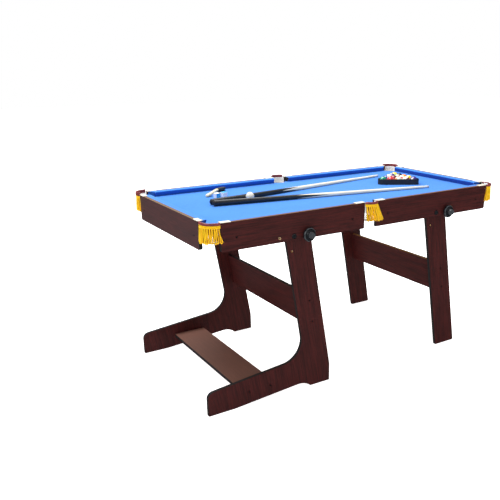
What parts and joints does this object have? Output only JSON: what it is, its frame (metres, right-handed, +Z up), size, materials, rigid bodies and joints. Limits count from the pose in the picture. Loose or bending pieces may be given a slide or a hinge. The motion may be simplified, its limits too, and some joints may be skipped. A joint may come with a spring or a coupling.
{
  "type": "folding pool table",
  "caption": "Compact folding pool table on an L-shaped stand with prop legs, net pockets, fringes, cues, balls and rack.",
  "frame": {"origin": "on the floor under the middle of the outline", "axes": "+Z up, +X along the table from the L-shaped stand to the prop legs, +Y across it"},
  "size_m": [1.5548, 0.8346, 0.8023],
  "materials": {
    "mahogany_board": "satin dark mahogany vinyl over board, fine grain",
    "bare_board": "bare fibreboard",
    "blue_cloth": "blue napped cloth",
    "maroon_leather": "maroon leather",
    "white_net": "white net and lining",
    "yellow_yarn": "golden yellow yarn fringe",
    "cream_plastic": "cream moulded plastic",
    "zinc_steel": "zinc plated",
    "black_steel": "black bolt with domed cap",
    "brass": "threaded insert",
    "black_plastic": "glossy black moulded knob",
    "rack_plastic": "black moulded plastic",
    "coloured_resin": "polished resin in several colours",
    "white_resin": "polished white resin",
    "cue_wood": "lacquered maple with black butt",
    "chalk_block": "papered chalk cube with a blue top",
    "brush_wood": "pale wood handle and black bristles"
  },
  "bodies": {
    "stand": {"stand_leg_near": "mahogany_board", "stand_leg_far": "mahogany_board", "stand_upper_board": "mahogany_board", "stand_foot_board": "mahogany_board", "stand_screws": "zinc_steel"},
    "table_top": {"bed_board": "bare_board", "bed_cloth": "blue_cloth", "bed_battens": "bare_board", "apron_screws": "zinc_steel", "end_apron_left": "mahogany_board", "end_apron_right": "mahogany_board", "end_cushion_left": "blue_cloth", "end_cushion_right": "blue_cloth", "pocket_brackets": "cream_plastic", "pivot_bolts": "black_steel", "pivot_nuts": "zinc_steel", "prop_spacers": "zinc_steel", "lock_inserts": "brass", "side_apron_near_left": "mahogany_board", "side_apron_near_right": "mahogany_board", "side_apron_far_left": "mahogany_board", "side_apron_far_right": "mahogany_board", "side_cushion_near_left": "blue_cloth", "side_cushion_near_right": "blue_cloth", "side_cushion_far_left": "blue_cloth", "side_cushion_far_right": "blue_cloth", "leather_near_left": "maroon_leather", "leather_near_middle": "maroon_leather", "leather_near_right": "maroon_leather", "leather_far_left": "maroon_leather", "leather_far_middle": "maroon_leather", "leather_far_right": "maroon_leather", "net_near_left": "white_net", "net_near_middle": "white_net", "net_near_right": "white_net", "net_far_left": "white_net", "net_far_middle": "white_net", "net_far_right": "white_net", "fringe_near_left": "yellow_yarn", "fringe_near_middle": "yellow_yarn", "fringe_near_right": "yellow_yarn", "fringe_far_left": "yellow_yarn", "fringe_far_middle": "yellow_yarn", "fringe_far_right": "yellow_yarn"},
    "prop_legs": {"prop_leg_near": "mahogany_board", "prop_leg_far": "mahogany_board", "prop_board": "mahogany_board", "prop_screws": "zinc_steel"},
    "knob_stand_near": {"knob_stand_near": "black_plastic"},
    "knob_stand_far": {"knob_stand_far": "black_plastic"},
    "knob_prop_near": {"knob_prop_near": "black_plastic"},
    "knob_prop_far": {"knob_prop_far": "black_plastic"},
    "rack": {"rack": "rack_plastic"},
    "racked_balls": {"racked_balls": "coloured_resin"},
    "cue_ball": {"cue_ball": "white_resin"},
    "cue_near": {"cue_near": "cue_wood"},
    "cue_far": {"cue_far": "cue_wood"},
    "chalk_left": {"chalk_left": "chalk_block"},
    "chalk_right": {"chalk_right": "chalk_block"},
    "brush": {"brush": "brush_wood"}
  },
  "joints": [
    {"name": "top_fold", "type": "hinge", "parent": "stand", "child": "table_top", "pos_m": [-0.37888, 0, 0.6925], "axis": [0, -1, 0], "range_deg": [0, 90]},
    {"name": "prop_fold", "type": "hinge", "parent": "table_top", "child": "prop_legs", "pos_m": [0.39413, 0, 0.6925], "axis": [0, 1, 0], "range_deg": [0, 90]},
    {"name": "knob_stand_near_slide", "type": "slide", "parent": "table_top", "child": "knob_stand_near", "axis": [0, -1, 0], "range_m": [-0.006, 0.04]},
    {"name": "knob_stand_far_slide", "type": "slide", "parent": "table_top", "child": "knob_stand_far", "axis": [0, 1, 0], "range_m": [-0.006, 0.04]},
    {"name": "knob_prop_near_slide", "type": "slide", "parent": "table_top", "child": "knob_prop_near", "axis": [0, -1, 0], "range_m": [-0.006, 0.04]},
    {"name": "knob_prop_far_slide", "type": "slide", "parent": "table_top", "child": "knob_prop_far", "axis": [0, 1, 0], "range_m": [-0.006, 0.04]},
    {"name": "rack_lift", "type": "slide", "parent": "table_top", "child": "rack", "axis": [0, 0, 1], "range_m": [0, 0.06]},
    {"name": "racked_balls_lift", "type": "slide", "parent": "table_top", "child": "racked_balls", "axis": [0, 0, 1], "range_m": [0, 0.06]},
    {"name": "cue_ball_lift", "type": "slide", "parent": "table_top", "child": "cue_ball", "axis": [0, 0, 1], "range_m": [0, 0.06]},
    {"name": "cue_near_lift", "type": "slide", "parent": "table_top", "child": "cue_near", "axis": [0, 0, 1], "range_m": [0, 0.06]},
    {"name": "cue_far_lift", "type": "slide", "parent": "table_top", "child": "cue_far", "axis": [0, 0, 1], "range_m": [0, 0.06]},
    {"name": "chalk_left_lift", "type": "slide", "parent": "table_top", "child": "chalk_left", "axis": [0, 0, 1], "range_m": [0, 0.06]},
    {"name": "chalk_right_lift", "type": "slide", "parent": "table_top", "child": "chalk_right", "axis": [0, 0, 1], "range_m": [0, 0.06]},
    {"name": "brush_lift", "type": "slide", "parent": "table_top", "child": "brush", "axis": [0, 0, 1], "range_m": [0, 0.06]}
  ]
}
